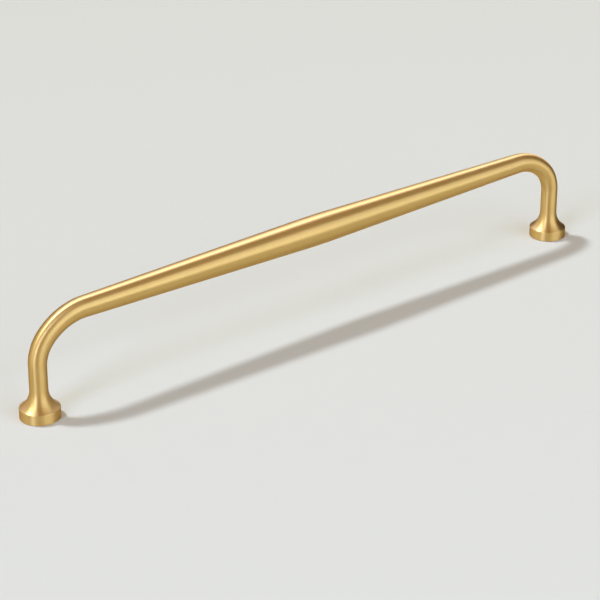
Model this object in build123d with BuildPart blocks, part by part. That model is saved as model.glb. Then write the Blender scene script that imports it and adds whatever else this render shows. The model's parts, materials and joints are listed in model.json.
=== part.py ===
from build123d import *

import os
from math import cos, radians, sin, tan

# Overall sizes, in millimetres
hole_spacing = 256.0
axis_height = 37.5

# Bar: thickest at its middle, with one even taper that runs on through each bend to the leg
grip_diameter = 12.0
leg_diameter = 6.8
crest_radius = 400.0

# Bend: a tighter arc leaves the leg and a wider arc runs into the bar
leg_bend_radius = 15.0
bar_bend_radius = 23.0
leg_bend_turn = 45.0

# Foot: a short cylinder with a hollow flare up to the leg
foot_diameter = 15.0
foot_height = 4.1
flare_height = 7.0
rim_radius = 0.4
base_chamfer = 0.3

# Blind fixing hole in each foot, tapped for an M4 machine screw
thread_diameter = 4.0
thread_depth = 9.0
mouth_diameter = 4.8
mouth_angle = 90.0
drill_diameter = 3.3
drill_depth = 10.5
drill_point_angle = 118.0

# Places that follow from the sizes above
hole_x = hole_spacing / 2
grip_radius = grip_diameter / 2
leg_radius = leg_diameter / 2
foot_radius = foot_diameter / 2
flare_top = foot_height + flare_height
turn = radians(leg_bend_turn)
bend_rise = leg_bend_radius * sin(turn) + bar_bend_radius * (1 - sin(turn))
bend_run = leg_bend_radius * (1 - cos(turn)) + bar_bend_radius * cos(turn)
bar_bend_turn = 90 - leg_bend_turn
bend_length = leg_bend_radius * turn + bar_bend_radius * radians(bar_bend_turn)
leg_top = axis_height - bend_rise
bar_end = hole_x - bend_run
taper = (grip_radius - leg_radius) / (bend_length + bar_end)
bar_end_radius = leg_radius + taper * bend_length
drill_radius = drill_diameter / 2
drill_point_height = drill_radius / tan(radians(drill_point_angle / 2))

# Planes of one foot: its upright section, its mounting face, and the two ends of the bend
foot_section_plane = Plane((hole_x, 0, 0), x_dir=(1, 0, 0), z_dir=(0, -1, 0))
mounting_face_plane = Plane((hole_x, 0, 0), x_dir=(1, 0, 0), z_dir=(0, 0, -1))
leg_top_plane = Plane((hole_x, 0, leg_top), x_dir=(0, 1, 0), z_dir=(0, 0, 1))
bar_end_plane = Plane((bar_end, 0, axis_height), x_dir=(0, 1, 0), z_dir=(-1, 0, 0))

os.makedirs("parts", exist_ok=True)

# The pull is one casting: one foot, leg and bend, their mirror image, and the bar between them
with BuildPart() as pull:
    # Foot and leg, turned about the fixing hole
    with BuildSketch(foot_section_plane) as foot_section:
        with BuildLine():
            Polyline((0, leg_top), (0, 0), (foot_radius, 0), (foot_radius, foot_height))
            TangentArc((leg_radius, flare_top), (foot_radius, foot_height), tangent=(0, -1))
            Polyline((leg_radius, flare_top), (leg_radius, leg_top), (0, leg_top))
        make_face()
        fillet(foot_section.vertices().group_by(Axis.X)[-1].sort_by(Axis.Y)[-1], radius=rim_radius)
        chamfer(foot_section.vertices().group_by(Axis.Y)[0].sort_by(Axis.X)[-1], length=base_chamfer)
    revolve(axis=Axis((hole_x, 0, 0), (0, 0, 1)))

    # Bend from the leg to the bar, growing thicker along its length
    with BuildLine(foot_section_plane):
        CenterArc((-leg_bend_radius, leg_top), leg_bend_radius, 0, leg_bend_turn)
        CenterArc((-bend_run, axis_height - bar_bend_radius), bar_bend_radius, leg_bend_turn, bar_bend_turn)
    with BuildSketch(leg_top_plane):
        Circle(leg_radius)
    with BuildSketch(bar_end_plane):
        Circle(bar_end_radius)
    sweep(multisection=True)

    # Tapped hole with a countersunk mouth, and the drilled end above its thread
    with Locations(mounting_face_plane):
        CounterSinkHole(thread_diameter / 2, mouth_diameter / 2, thread_depth, mouth_angle)
        Hole(drill_radius, drill_depth)
    with Locations((hole_x, 0, drill_depth)):
        Cone(
            drill_radius,
            0,
            drill_point_height,
            align=(Align.CENTER, Align.CENTER, Align.MIN),
            mode=Mode.SUBTRACT,
        )

    mirror(about=Plane.YZ)

    # Bar, turned about its own centreline, with a soft crest where its two tapers meet
    with BuildSketch(Plane.XZ) as bar_section:
        with BuildLine():
            Polyline(
                (-bar_end, axis_height),
                (-bar_end, axis_height + bar_end_radius),
                (0, axis_height + grip_radius),
                (bar_end, axis_height + bar_end_radius),
                (bar_end, axis_height),
                close=True,
            )
        make_face()
        fillet(bar_section.vertices().sort_by(Axis.Y)[-1], radius=crest_radius)
    revolve(axis=Axis((0, 0, axis_height), (1, 0, 0)))

pull.part.label = "cabinet_pull"
export_step(pull.part, "parts/cabinet_pull.step")
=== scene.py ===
"""Satin brass cabinet pull: its visual model, a pale studio floor, soft light and a camera."""

import json
import math
from collections import namedtuple

import bmesh
import bpy
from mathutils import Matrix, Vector


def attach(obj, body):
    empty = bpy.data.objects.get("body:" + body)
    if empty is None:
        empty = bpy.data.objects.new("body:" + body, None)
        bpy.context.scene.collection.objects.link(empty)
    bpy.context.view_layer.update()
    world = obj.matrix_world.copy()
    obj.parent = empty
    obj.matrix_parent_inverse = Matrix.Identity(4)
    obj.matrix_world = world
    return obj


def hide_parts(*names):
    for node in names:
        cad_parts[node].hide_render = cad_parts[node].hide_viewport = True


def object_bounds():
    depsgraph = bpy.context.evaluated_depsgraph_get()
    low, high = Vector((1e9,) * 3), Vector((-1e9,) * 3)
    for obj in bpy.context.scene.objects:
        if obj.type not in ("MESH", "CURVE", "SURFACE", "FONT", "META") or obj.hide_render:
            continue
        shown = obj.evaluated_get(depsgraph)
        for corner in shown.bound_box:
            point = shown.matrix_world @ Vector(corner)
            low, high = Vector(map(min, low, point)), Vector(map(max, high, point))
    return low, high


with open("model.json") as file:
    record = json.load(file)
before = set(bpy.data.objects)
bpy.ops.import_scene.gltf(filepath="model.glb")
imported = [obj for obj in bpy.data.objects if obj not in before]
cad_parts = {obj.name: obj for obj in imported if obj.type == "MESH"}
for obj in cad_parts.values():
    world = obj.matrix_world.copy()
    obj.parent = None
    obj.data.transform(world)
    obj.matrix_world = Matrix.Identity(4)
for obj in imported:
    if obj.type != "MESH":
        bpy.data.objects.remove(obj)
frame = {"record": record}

bl_info = {
    "name": "Satin Brass Cabinet Pull",
    "version": (1, 0, 0),
    "blender": (4, 5, 0),
    "location": "View3D > Sidebar > Cabinet Pull",
    "description": "Builds a D-shaped cabinet pull in satin brass and the studio it stands in",
    "category": "Object",
}

MM = 0.001
NODE = "cabinet_pull"
BODY = "root"
SENSOR = 36.0

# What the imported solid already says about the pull
CAD_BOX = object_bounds()
MOUNTS = {mount["name"]: mount for mount in frame["record"]["mounts"]}
HOLE_SPACING = MOUNTS["fixing_pattern"]["dims"]["spacing_x_mm"]
THREAD_DIAMETER = 2 * MOUNTS["fixing_hole_left"]["dims"]["r_mm"]
FOOT_DIAMETER = 2 * CAD_BOX[1].x / MM - HOLE_SPACING

# How finely the round section and each stretch along the pull are divided
SEGMENTS = 72
THREAD_STEPS_PER_TURN = 8
FACE_STEPS = 6
SIDE_STEPS = 6
RIM_STEPS = 6
FLARE_STEPS = 24
LEG_STEPS = 8
BEND_STEPS = 18
BAR_STEPS = 30
CREST_STEPS = 6
FLOOR_SEGMENTS = 96
SHARP_ANGLE = math.radians(32)

# Flats of the thread's section, as shares of its pitch
THREAD_CREST = 1 / 4
THREAD_ROOT = 1 / 8

# Where the room's colour changes, as the sine of the angle above the floor
HORIZON_TOP = 0.16
WALL_FOOT = 0.40
WALL_TOP = 0.78
CEILING_EDGE = 0.92

# Layers of the finishing lines' grit, how much each finer one fades, and layers of the patches of tone
GRIT_LAYERS = 3.0
GRIT_FADE = 0.6
PATCH_LAYERS = 2.0

# A round section of the pull: its centre, its tilt from level and its radius
Ring = namedtuple("Ring", "x z turn radius")


def linear(hex_colour):
    """Turns an sRGB hex colour into linear red, green, blue and a full alpha."""
    channels = [int(hex_colour[i:i + 2], 16) / 255 for i in (1, 3, 5)]
    return [c / 12.92 if c <= 0.04045 else ((c + 0.055) / 1.055) ** 2.4 for c in channels] + [1.0]


def length(name, description, millimetres):
    """A length property, given in millimetres and kept in metres."""
    return bpy.props.FloatProperty(
        name=name, description=description, default=millimetres * MM, unit="LENGTH", precision=4)


def colour(name, description, hex_colour):
    """A colour property, given as an sRGB hex value."""
    return bpy.props.FloatVectorProperty(
        name=name, description=description, default=linear(hex_colour),
        size=4, subtype="COLOR", min=0, max=1)


def angle(name, description, degrees):
    """An angle property, given in degrees."""
    return bpy.props.FloatProperty(
        name=name, description=description, default=math.radians(degrees), unit="ROTATION")


def factor(name, description, share):
    """A plain share from 0 to 1."""
    return bpy.props.FloatProperty(
        name=name, description=description, default=share, min=0, max=1, subtype="FACTOR")


def brightness(name, description, level):
    """Brightness of a lamp or of a panel's face, in the renderer's own units."""
    return bpy.props.FloatProperty(name=name, description=description, default=level, min=0)


class PullSizes(bpy.types.PropertyGroup):
    """Sizes of the pull, the same as those of its solid, with its thread."""

    hole_spacing: length("Hole spacing", "Between the two fixing holes", HOLE_SPACING)
    axis_height: length("Axis height", "Mounting face to the bar's centreline", 37.5)
    grip_diameter: length("Grip diameter", "Bar at its middle, before the crest is rounded", 12.0)
    leg_diameter: length("Leg diameter", "Straight leg, and the thin end of the taper", 6.8)
    crest_radius: length("Crest radius", "Rounding where the bar's two tapers meet", 400.0)
    leg_bend_radius: length("Leg bend radius", "Tighter arc that leaves the leg", 15.0)
    bar_bend_radius: length("Bar bend radius", "Wider arc that runs into the bar", 23.0)
    leg_bend_turn: angle("Leg bend turn", "Turn that the tighter arc takes", 45.0)
    foot_diameter: length("Foot diameter", "Round foot", FOOT_DIAMETER)
    foot_height: length("Foot height", "Straight side of the foot, up to its rim", 4.1)
    flare_height: length("Flare height", "Hollow flare from the rim up to the leg", 7.0)
    rim_radius: length("Rim radius", "Rounding of the foot's rim", 0.4)
    base_chamfer: length("Base chamfer", "Edge break round the mounting face", 0.3)
    thread_diameter: length("Thread diameter", "Outer diameter of the thread", THREAD_DIAMETER)
    thread_pitch: length("Thread pitch", "Rise of the thread in one turn", 0.7)
    thread_depth: length("Thread depth", "Mounting face to the end of the thread", 9.0)
    mouth_diameter: length("Mouth diameter", "Countersink at the hole's mouth", 4.8)
    mouth_angle: angle("Mouth angle", "Whole angle of the countersink", 90.0)
    drill_diameter: length("Drill diameter", "Hole drilled before tapping", 3.3)
    drill_depth: length("Drill depth", "Mounting face to the end of the drilled wall", 10.5)
    drill_point_angle: angle("Drill point angle", "Whole angle of the drilled cone", 118.0)
    chisel_diameter: length("Chisel diameter", "Flat that the drill's point leaves", 0.3)


class BrassFinish(bpy.types.PropertyGroup):
    """Colour and finish of the satin brass."""

    light_tone: colour("Light tone", "Freshly finished brass", "#E1BC74")
    deep_tone: colour("Deep tone", "Slightly toned brass", "#DAB569")
    # Tints the brass's reflections dark brown at grazing angles: painted shade along the pull's edges
    edge_shade_tone: colour("Edge tone", "Brass seen at a grazing angle", "#8E5E1C")
    tone_patch: length("Tone patch", "Size of the patches of lighter and deeper tone", 16.0)
    roughness: factor("Roughness", "Blur of the reflections", 0.46)
    roughness_swing: factor("Roughness swing", "Change of the blur from line to line", 0.08)
    anisotropy: factor("Anisotropy", "Stretch of the highlights along the pull", 0.88)
    lacquer: factor("Lacquer", "Strength of the clear coat's own gloss", 0.15)
    lacquer_roughness: factor("Lacquer roughness", "Blur of the clear coat's gloss", 0.3)
    line_spacing: length("Line spacing", "Spacing of the finishing lines round the section", 0.5)
    line_depth: length("Line depth", "Depth of the finishing lines", 0.02)
    line_strength: factor("Line strength", "Strength of the finishing lines' relief", 0.15)


class StudioSettings(bpy.types.PropertyGroup):
    """Floor, light and camera. Each azimuth is 0 in front of the bar."""

    floor_colour: colour("Floor colour", "Matt painted board", "#D9DAD0")
    floor_solid_radius: length("Floor solid radius", "Where the floor starts to fade into the room", 500.0)
    floor_radius: length("Floor radius", "Edge of the floor", 1100.0)
    horizon_colour: colour("Horizon colour", "Pale foot of the walls", "#E0E1DD")
    wall_colour: colour("Wall colour", "Walls of the room", "#A6935F")
    ceiling_colour: colour("Ceiling colour", "Dim, warm ceiling", "#9E7A2E")
    key_colour: colour("Key colour", "Lamp behind the pull", "#E4EEFF")
    key_strength: brightness("Key strength", "Light that the key lamp throws on the floor", 2.04)
    key_size: angle("Key size", "Width of the lamp as the pull sees it", 7.0)
    key_azimuth: angle("Key azimuth", "Direction of the key lamp", 210.9)
    key_elevation: angle("Key elevation", "Height of the key lamp above the floor", 61.4)
    back_colour: colour("Back colour", "Face of the back panel", "#ABB7FF")
    back_radiance: brightness("Back radiance", "Brightness of the back panel's face", 3.15)
    back_length: length("Back length", "Length of the back panel along the bar", 2200.0)
    back_width: length("Back width", "Width of the back panel", 1400.0)
    back_distance: length("Back distance", "Back panel to the bar", 1500.0)
    back_offset: length("Back offset", "Shift of the back panel along the bar", 600.0)
    back_elevation: angle("Back elevation", "Height of the back panel, seen from the bar", 54.0)
    diffuser_distance: length("Diffuser distance", "Front and side diffuser to the pull", 4000.0)
    front_colour: colour("Front colour", "Face of the front diffuser", "#C6D6FA")
    front_radiance: brightness("Front radiance", "Brightness of the front diffuser's face", 2.5)
    front_width: length("Front width", "Width of the front diffuser", 4320.0)
    front_height: length("Front height", "Height of the front diffuser", 3520.0)
    front_azimuth: angle("Front azimuth", "Direction of the front diffuser", 14.0)
    front_elevation: angle("Front elevation", "Height of the front diffuser's middle", 23.0)
    side_colour: colour("Side colour", "Face of the side diffuser", "#B8CAFF")
    side_radiance: brightness("Side radiance", "Brightness of the side diffuser's face", 6.1)
    side_width: length("Side width", "Width of the side diffuser", 1150.0)
    side_height: length("Side height", "Height of the side diffuser", 4320.0)
    side_azimuth: angle("Side azimuth", "Direction of the side diffuser", -73.0)
    side_elevation: angle("Side elevation", "Height of the side diffuser's middle", 27.0)
    # The dark card paints a dark reflection on the right bend; only reflections see it
    card_colour: colour("Card colour", "Dark card that the right bend reflects", "#3A2E1C")
    card_distance: length("Card distance", "Dark card, to the right of the pull's middle", 350.0)
    card_offset: length("Card offset", "Middle of the dark card, behind the bar", 325.0)
    card_length: length("Card length", "Length of the dark card", 950.0)
    card_height: length("Card height", "Height of the dark card", 220.0)
    camera_azimuth: angle("Camera azimuth", "Direction of the camera", -39.42)
    camera_elevation: angle("Camera elevation", "Height of the camera above the floor", 25.29)
    camera_distance: length("Camera distance", "Camera to the point it is aimed at", 851.0)
    camera_target: bpy.props.FloatVectorProperty(
        name="Camera target", description="Point that the camera is aimed at",
        default=(-8.6 * MM, -1.05 * MM, 10.72 * MM), size=3, subtype="TRANSLATION", precision=4)
    lens: bpy.props.FloatProperty(
        name="Lens", description="Focal length on a 36 mm sensor", default=132.1, subtype="DISTANCE_CAMERA")


def shares(count):
    """Even shares of a run or an arc, without its start and with its end."""
    return [(k + 1) / count for k in range(count)]


def clamp(value):
    """Keeps a value from 0 to 1."""
    return max(0, min(1, value))


def hole_rings(s):
    """Rings of one fixing hole, from the drilled point down to the mouth, as (ring, threaded)."""
    x = s.hole_spacing / 2
    chisel = s.chisel_diameter / 2
    drill = s.drill_diameter / 2
    point_height = (drill - chisel) / math.tan(s.drill_point_angle / 2)
    rings = [(Ring(x, s.drill_depth + point_height, 0, chisel), False)]
    rings += [(Ring(x, s.drill_depth, 0, drill), False)]
    steps = round(s.thread_depth / s.thread_pitch * THREAD_STEPS_PER_TURN)
    rings += [(Ring(x, s.thread_depth * (1 - k / steps), 0, drill), True) for k in range(steps + 1)]
    return rings


def thread_radius(s, turn, z):
    """Radius of the tapped hole at one turn about its axis and one height, countersunk at the mouth."""
    minor = s.drill_diameter / 2
    from_root = abs((z / s.thread_pitch - turn / math.tau) % 1 - 0.5)
    flank = (1 - THREAD_CREST - THREAD_ROOT) / 2
    groove = clamp((THREAD_ROOT / 2 + flank - from_root) / flank)
    run_out = clamp((s.thread_depth - z) / s.thread_pitch)
    countersink = s.mouth_diameter / 2 - z * math.tan(s.mouth_angle / 2)
    return max(minor + groove * run_out * (s.thread_diameter / 2 - minor), countersink)


def foot_rings(s):
    """Rings of one foot and leg, from the mounting face up to the bend."""
    x = s.hole_spacing / 2
    foot = s.foot_diameter / 2
    leg = s.leg_diameter / 2
    mouth = s.mouth_diameter / 2
    face = foot - s.base_chamfer
    flare_top = s.foot_height + s.flare_height
    leg_top = s.axis_height - bend_size(s)[1]

    # The flare is an arc that leaves the leg upright, and the rim's rounding meets it
    spread = foot - leg
    flare_radius = (spread ** 2 + s.flare_height ** 2) / (2 * spread)
    flare_x = leg + flare_radius
    rim_x = foot - s.rim_radius
    reach = flare_radius + s.rim_radius
    rim_z = flare_top - math.sqrt(reach ** 2 - (rim_x - flare_x) ** 2)
    rim_turn = math.atan2(flare_top - rim_z, flare_x - rim_x)

    rings = [Ring(x, 0, 0, mouth + (face - mouth) * t) for t in shares(FACE_STEPS)]
    rings += [Ring(x, s.base_chamfer, 0, foot)]
    rings += [Ring(x, s.base_chamfer + (rim_z - s.base_chamfer) * t, 0, foot) for t in shares(SIDE_STEPS)]
    for t in shares(RIM_STEPS):
        a = rim_turn * t
        rings.append(Ring(x, rim_z + s.rim_radius * math.sin(a), 0, rim_x + s.rim_radius * math.cos(a)))
    for t in shares(FLARE_STEPS):
        a = rim_turn * (1 - t)
        z = flare_top - flare_radius * math.sin(a)
        rings.append(Ring(x, z, 0, flare_x - flare_radius * math.cos(a)))
    rings += [Ring(x, flare_top + (leg_top - flare_top) * t, 0, leg) for t in shares(LEG_STEPS)]
    return rings


def bend_size(s):
    """Run along the bar, rise along the leg and centreline length of one bend."""
    turn = s.leg_bend_turn
    run = s.leg_bend_radius * (1 - math.cos(turn)) + s.bar_bend_radius * math.cos(turn)
    rise = s.leg_bend_radius * math.sin(turn) + s.bar_bend_radius * (1 - math.sin(turn))
    return run, rise, s.leg_bend_radius * turn + s.bar_bend_radius * (math.pi / 2 - turn)


def taper_rate(s):
    """Growth of the radius for each metre of centreline, from the leg to the bar's middle."""
    run, _, centreline = bend_size(s)
    return (s.grip_diameter - s.leg_diameter) / 2 / (centreline + s.hole_spacing / 2 - run)


def bend_rings(s):
    """Rings of one bend: the tighter arc that leaves the leg, then the wider arc into the bar."""
    run, rise, _ = bend_size(s)
    x = s.hole_spacing / 2
    taper = taper_rate(s)
    thickness = s.leg_diameter / 2
    arcs = (
        (x - s.leg_bend_radius, s.axis_height - rise, s.leg_bend_radius, 0, s.leg_bend_turn),
        (x - run, s.axis_height - s.bar_bend_radius, s.bar_bend_radius, s.leg_bend_turn, math.pi / 2),
    )
    rings = []
    for centre_x, centre_z, radius, start, end in arcs:
        for t in shares(BEND_STEPS):
            a = start + (end - start) * t
            grown = thickness + taper * radius * (a - start)
            rings.append(Ring(centre_x + radius * math.cos(a), centre_z + radius * math.sin(a), a, grown))
        thickness = grown
    return rings


def bar_rings(s):
    """Rings of half the bar, from the bend to the soft crest at the middle."""
    bar_end = s.hole_spacing / 2 - bend_size(s)[0]
    taper = taper_rate(s)
    grip = s.grip_diameter / 2
    upright = math.pi / 2
    crest_x = s.crest_radius * math.sin(math.atan(taper))
    crest_base = grip - taper * crest_x - math.sqrt(s.crest_radius ** 2 - crest_x ** 2)
    rings = []
    for t in shares(BAR_STEPS):
        x = bar_end + (crest_x - bar_end) * t
        rings.append(Ring(x, s.axis_height, upright, grip - taper * x))
    for t in shares(CREST_STEPS):
        x = crest_x * (1 - t)
        rings.append(Ring(x, s.axis_height, upright, crest_base + math.sqrt(s.crest_radius ** 2 - x ** 2)))
    return rings


def ring_points(s, ring, threaded, side):
    """Points of one ring. Side is 1 for the right half of the pull and -1 for the left."""
    points = []
    for k in range(SEGMENTS):
        a = math.tau * k / SEGMENTS
        radius = ring.radius
        if threaded:
            radius = thread_radius(s, math.atan2(math.sin(a), side * math.cos(a)), ring.z)
        out = radius * math.cos(a)
        points.append(Vector((
            side * (ring.x + out * math.cos(ring.turn)),
            radius * math.sin(a),
            ring.z + out * math.sin(ring.turn),
        )))
    return points


def pull_mesh(s):
    """One closed skin of rings, from the point of one fixing hole, round the pull, to that of the other."""
    solid = foot_rings(s) + bend_rings(s) + bar_rings(s)
    half = hole_rings(s) + [(ring, False) for ring in solid]
    whole = [(ring, threaded, 1) for ring, threaded in half]
    whole += [(ring, threaded, -1) for ring, threaded in reversed(half[:-1])]

    bm = bmesh.new()
    along_layer = bm.loops.layers.uv.new("along")
    rings = []
    travelled = [0.0]
    for ring, threaded, side in whole:
        points = ring_points(s, ring, threaded, side)
        if rings:
            travelled.append(travelled[-1] + (points[0] - rings[-1][0].co).length)
        rings.append([bm.verts.new(p) for p in points])
    for i in range(len(rings) - 1):
        for k in range(SEGMENTS):
            n = (k + 1) % SEGMENTS
            face = bm.faces.new((rings[i][k], rings[i][n], rings[i + 1][n], rings[i + 1][k]))
            corners = ((i, k), (i, k + 1), (i + 1, k + 1), (i + 1, k))
            for loop, (row, column) in zip(face.loops, corners):
                loop[along_layer].uv = (travelled[row], column / SEGMENTS)
    bm.faces.new(reversed(rings[0]))
    bm.faces.new(rings[-1])
    mesh = bpy.data.meshes.new("brass_pull")
    bm.to_mesh(mesh)
    bm.free()
    mesh.shade_smooth()
    mesh.set_sharp_from_angle(angle=SHARP_ANGLE)
    return mesh


def add_node(tree, kind, links=None, **settings):
    """Adds one node. Settings are socket values or attributes, and links feed sockets by name or number."""
    made = tree.nodes.new(kind)
    for name, value in settings.items():
        if name in made.inputs:
            made.inputs[name].default_value = value
        else:
            setattr(made, name, value)
    for name, output in (links or {}).items():
        tree.links.new(output, made.inputs[name])
    return made


def empty_material(name):
    """A new material whose node tree is still empty."""
    material = bpy.data.materials.new(name)
    material.use_nodes = True
    material.node_tree.nodes.clear()
    return material


def satin_brass(f):
    """Cast brass, linished round the section, then lacquered.

    The fine lines run round the bar, so its reflections draw out into streaks along the pull. The streaks
    stay fairly crisp across it. The metal is warm, its reflections turn dark brown at grazing angles as
    painted shade along its edges, and the clear lacquer lays a thin pale gloss over it.
    """
    material = empty_material("satin_brass")
    tree = material.node_tree

    # Real lines are about 0.1 mm apart, and are drawn coarser so that they show
    uv = add_node(tree, "ShaderNodeUVMap", uv_map="along")
    split = add_node(tree, "ShaderNodeSeparateXYZ", {0: uv.outputs[0]})
    around = add_node(tree, "ShaderNodeMath", {0: split.outputs["Y"]}, operation="MULTIPLY")
    around.inputs[1].default_value = math.tau
    wrap_x = add_node(tree, "ShaderNodeMath", {0: around.outputs[0]}, operation="COSINE")
    wrap_y = add_node(tree, "ShaderNodeMath", {0: around.outputs[0]}, operation="SINE")
    lines = add_node(tree, "ShaderNodeMath", {0: split.outputs["X"]}, operation="DIVIDE")
    lines.inputs[1].default_value = f.line_spacing
    spread = add_node(
        tree, "ShaderNodeCombineXYZ", {0: lines.outputs[0], 1: wrap_x.outputs[0], 2: wrap_y.outputs[0]})
    grit = add_node(
        tree, "ShaderNodeTexNoise", {"Vector": spread.outputs[0]},
        Scale=1.0, Detail=GRIT_LAYERS, Roughness=GRIT_FADE)
    gloss = add_node(
        tree, "ShaderNodeMapRange", {"Value": grit.outputs["Fac"]},
        **{"To Min": f.roughness - f.roughness_swing, "To Max": f.roughness + f.roughness_swing})
    relief = add_node(
        tree, "ShaderNodeBump", {"Height": grit.outputs["Fac"]},
        Strength=f.line_strength, Distance=f.line_depth)

    # Soft patches where the metal has toned a little more
    place = add_node(tree, "ShaderNodeTexCoord")
    cloud = add_node(
        tree, "ShaderNodeTexNoise", {"Vector": place.outputs["Object"]},
        Scale=1 / f.tone_patch, Detail=PATCH_LAYERS)
    tone = add_node(tree, "ShaderNodeMix", {"Factor": cloud.outputs["Fac"]}, data_type="RGBA")
    tone.inputs["A"].default_value = f.light_tone
    tone.inputs["B"].default_value = f.deep_tone

    along = add_node(tree, "ShaderNodeTangent", direction_type="UV_MAP", uv_map="along")
    metal = add_node(
        tree, "ShaderNodeBsdfPrincipled",
        {
            "Base Color": tone.outputs["Result"],
            "Roughness": gloss.outputs[0],
            "Normal": relief.outputs[0],
            "Tangent": along.outputs[0],
        },
        Metallic=1.0, Anisotropic=f.anisotropy)
    # Dark brown reflection at grazing angles, as painted shade along the pull's edges
    metal.inputs["Specular Tint"].default_value = f.edge_shade_tone
    metal.inputs["Coat Weight"].default_value = f.lacquer
    metal.inputs["Coat Roughness"].default_value = f.lacquer_roughness
    add_node(tree, "ShaderNodeOutputMaterial", {"Surface": metal.outputs[0]})
    return material


def painted_board(settings):
    """Matt emulsion on board: an even pale grey with no gloss, which fades into the room at its edge."""
    material = empty_material("painted_board")
    tree = material.node_tree
    paint = add_node(tree, "ShaderNodeBsdfDiffuse", Color=settings.floor_colour)
    room = add_node(tree, "ShaderNodeBsdfTransparent")
    place = add_node(tree, "ShaderNodeTexCoord")
    reach = add_node(tree, "ShaderNodeVectorMath", {0: place.outputs["Object"]}, operation="LENGTH")
    fade = add_node(
        tree, "ShaderNodeMapRange", {"Value": reach.outputs["Value"]}, interpolation_type="SMOOTHSTEP",
        **{"From Min": settings.floor_solid_radius, "From Max": settings.floor_radius})
    blend = add_node(
        tree, "ShaderNodeMixShader", {0: fade.outputs[0], 1: paint.outputs[0], 2: room.outputs[0]})
    add_node(tree, "ShaderNodeOutputMaterial", {"Surface": blend.outputs[0]})
    return material


def dark_reflection_card(settings):
    """Matt card, dark, warm and without gloss; only reflections see it, so it paints a dark reflection on
    the pull.
    """
    material = empty_material("dark_reflection_card")
    dye = add_node(material.node_tree, "ShaderNodeBsdfDiffuse", Color=settings.card_colour)
    add_node(material.node_tree, "ShaderNodeOutputMaterial", {"Surface": dye.outputs[0]})
    return material


def studio_world(settings):
    """A plain room: pale at the horizon, tan up the walls, with a dim warm ceiling."""
    world = bpy.data.worlds.new("studio_room")
    world.use_nodes = True
    tree = world.node_tree
    tree.nodes.clear()
    place = add_node(tree, "ShaderNodeTexCoord")
    towards = add_node(tree, "ShaderNodeSeparateXYZ", {0: place.outputs["Generated"]})
    room = add_node(tree, "ShaderNodeValToRGB", {0: towards.outputs["Z"]})
    stops = room.color_ramp.elements
    stops.remove(stops[0])
    stops[0].position = HORIZON_TOP
    stops[0].color = settings.horizon_colour
    stops.new(WALL_FOOT).color = settings.wall_colour
    stops.new(WALL_TOP).color = settings.wall_colour
    stops.new(CEILING_EDGE).color = settings.ceiling_colour
    light = add_node(tree, "ShaderNodeBackground", {"Color": room.outputs["Color"]}, Strength=1.0)
    add_node(tree, "ShaderNodeOutputWorld", {"Surface": light.outputs[0]})
    return world


def direction(azimuth, elevation):
    """Unit vector towards a place seen from the pull. Azimuth 0 is in front of the bar."""
    level = math.cos(elevation)
    return Vector((math.sin(azimuth) * level, -math.cos(azimuth) * level, math.sin(elevation)))


def aim(thing, place, target):
    """Puts a lamp or camera at a place and turns it towards a target."""
    thing.location = place
    thing.rotation_euler = (place - target).to_track_quat("Z", "Y").to_euler()


def add_stage(scene, name, bm, material):
    """Adds a flat piece of the studio, which isn't part of the pull."""
    mesh = bpy.data.meshes.new(name)
    bm.to_mesh(mesh)
    bm.free()
    mesh.materials.append(material)
    piece = bpy.data.objects.new(name, mesh)
    scene.collection.objects.link(piece)
    return piece


def add_floor(scene, settings):
    """A round floor that fades into the room."""
    bm = bmesh.new()
    bmesh.ops.create_circle(bm, cap_ends=True, segments=FLOOR_SEGMENTS, radius=settings.floor_radius)
    add_stage(scene, "floor", bm, painted_board(settings))


def add_card(scene, settings):
    """A low dark card at the right, which only the pull's reflections show: it paints a dark reflection on
    the right bend, and casts no shadow.
    """
    near = settings.card_offset - settings.card_length / 2
    far = settings.card_offset + settings.card_length / 2
    bm = bmesh.new()
    corners = ((near, 0), (far, 0), (far, settings.card_height), (near, settings.card_height))
    bm.faces.new([bm.verts.new((settings.card_distance, y, z)) for y, z in corners])
    card = add_stage(scene, "card", bm, dark_reflection_card(settings))
    card.visible_camera = False
    card.visible_diffuse = False
    card.visible_shadow = False


def add_lamp(scene, name, kind, tint, energy, place, target):
    """Adds a lamp that is aimed at a target and isn't seen by the camera."""
    lamp = bpy.data.objects.new(name, bpy.data.lights.new(name, kind))
    lamp.data.energy = energy
    lamp.data.color = tint[:3]
    lamp.visible_camera = False
    scene.collection.objects.link(lamp)
    aim(lamp, place, target)
    return lamp


def add_panel(scene, name, tint, radiance, width, height, place, target):
    """Adds a flat light whose whole face has one brightness."""
    panel = add_lamp(scene, name, "AREA", tint, radiance * math.pi * width * height, place, target)
    panel.data.shape = "RECTANGLE"
    panel.data.size = width
    panel.data.size_y = height
    return panel


def add_lights(scene, settings):
    """One small lamp for the shadow, and three panels for soft light and the pull's reflections."""
    middle = Vector()

    # High behind the pull, so its shadow falls forward
    behind = direction(settings.key_azimuth, settings.key_elevation)
    key = add_lamp(scene, "key", "SUN", settings.key_colour, settings.key_strength, behind, middle)
    key.data.angle = settings.key_size

    # Above and behind the bar, for the bright line along its top. It throws no light on the floor
    shift = Vector((settings.back_offset, 0, 0))
    above = direction(math.pi, settings.back_elevation) * settings.back_distance
    back = add_panel(
        scene, "back", settings.back_colour, settings.back_radiance,
        settings.back_length, settings.back_width, shift + above, shift)
    back.visible_diffuse = False

    # A large diffuser low in front, and a narrower one at the left
    front_place = direction(settings.front_azimuth, settings.front_elevation) * settings.diffuser_distance
    add_panel(
        scene, "front", settings.front_colour, settings.front_radiance,
        settings.front_width, settings.front_height, front_place, middle)
    side_place = direction(settings.side_azimuth, settings.side_elevation) * settings.diffuser_distance
    add_panel(
        scene, "side", settings.side_colour, settings.side_radiance,
        settings.side_width, settings.side_height, side_place, middle)


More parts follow.
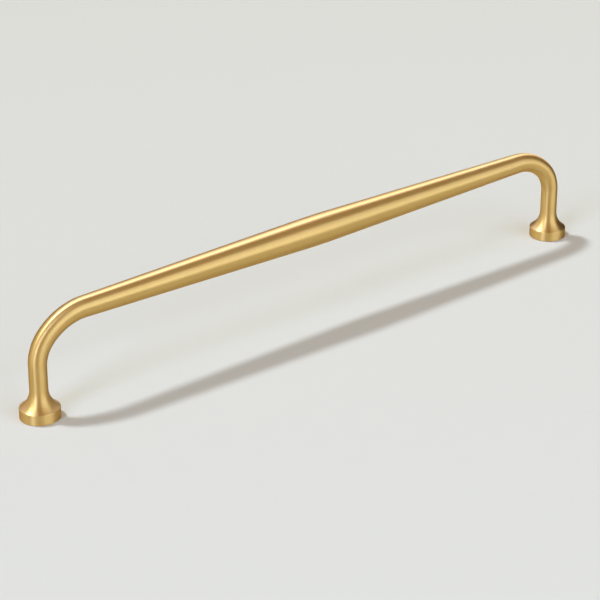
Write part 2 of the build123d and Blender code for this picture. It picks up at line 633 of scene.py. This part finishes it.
def add_camera(scene, settings):
    """The camera, at the photograph's viewing angle."""
    camera = bpy.data.objects.new("camera", bpy.data.cameras.new("camera"))
    camera.data.sensor_width = SENSOR
    camera.data.lens = settings.lens
    scene.collection.objects.link(camera)
    target = Vector(settings.camera_target)
    towards = direction(settings.camera_azimuth, settings.camera_elevation)
    aim(camera, target + towards * settings.camera_distance, target)
    scene.camera = camera


class PULL_OT_body(bpy.types.Operator):
    """Build the brass pull: one casting with two tapped feet"""

    bl_idname = "pull.body"
    bl_label = "Brass Pull"

    def execute(self, context):
        scene = context.scene
        pull = bpy.data.objects.new("brass_pull", pull_mesh(scene.pull_sizes))
        scene.collection.objects.link(pull)
        pull.data.materials.append(satin_brass(scene.pull_finish))
        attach(pull, BODY)
        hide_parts(NODE)
        return {"FINISHED"}


class PULL_OT_studio(bpy.types.Operator):
    """Set out the pale floor, the soft light and the camera"""

    bl_idname = "pull.studio"
    bl_label = "Studio"

    def execute(self, context):
        scene = context.scene
        settings = scene.pull_studio
        scene.view_settings.view_transform = "Standard"
        scene.world = studio_world(settings)
        add_floor(scene, settings)
        add_card(scene, settings)
        add_lights(scene, settings)
        add_camera(scene, settings)
        return {"FINISHED"}


class PULL_PT_panel(bpy.types.Panel):
    """Lists the pull's operators and settings"""

    bl_idname = "PULL_PT_panel"
    bl_label = "Cabinet Pull"
    bl_space_type = "VIEW_3D"
    bl_region_type = "UI"
    bl_category = "Cabinet Pull"

    def draw(self, context):
        layout = self.layout
        layout.operator(PULL_OT_body.bl_idname)
        layout.operator(PULL_OT_studio.bl_idname)
        for group in (context.scene.pull_sizes, context.scene.pull_finish, context.scene.pull_studio):
            column = layout.column()
            for name in group.__annotations__:
                column.prop(group, name)


CLASSES = (PullSizes, BrassFinish, StudioSettings, PULL_OT_body, PULL_OT_studio, PULL_PT_panel)


def register():
    for cls in CLASSES:
        bpy.utils.register_class(cls)
    bpy.types.Scene.pull_sizes = bpy.props.PointerProperty(type=PullSizes)
    bpy.types.Scene.pull_finish = bpy.props.PointerProperty(type=BrassFinish)
    bpy.types.Scene.pull_studio = bpy.props.PointerProperty(type=StudioSettings)


def unregister():
    del bpy.types.Scene.pull_sizes
    del bpy.types.Scene.pull_finish
    del bpy.types.Scene.pull_studio
    for cls in reversed(CLASSES):
        bpy.utils.unregister_class(cls)


def main():
    """Builds the pull and its studio."""
    register()
    bpy.ops.pull.body()
    bpy.ops.pull.studio()


if __name__ == "__main__":
    main()
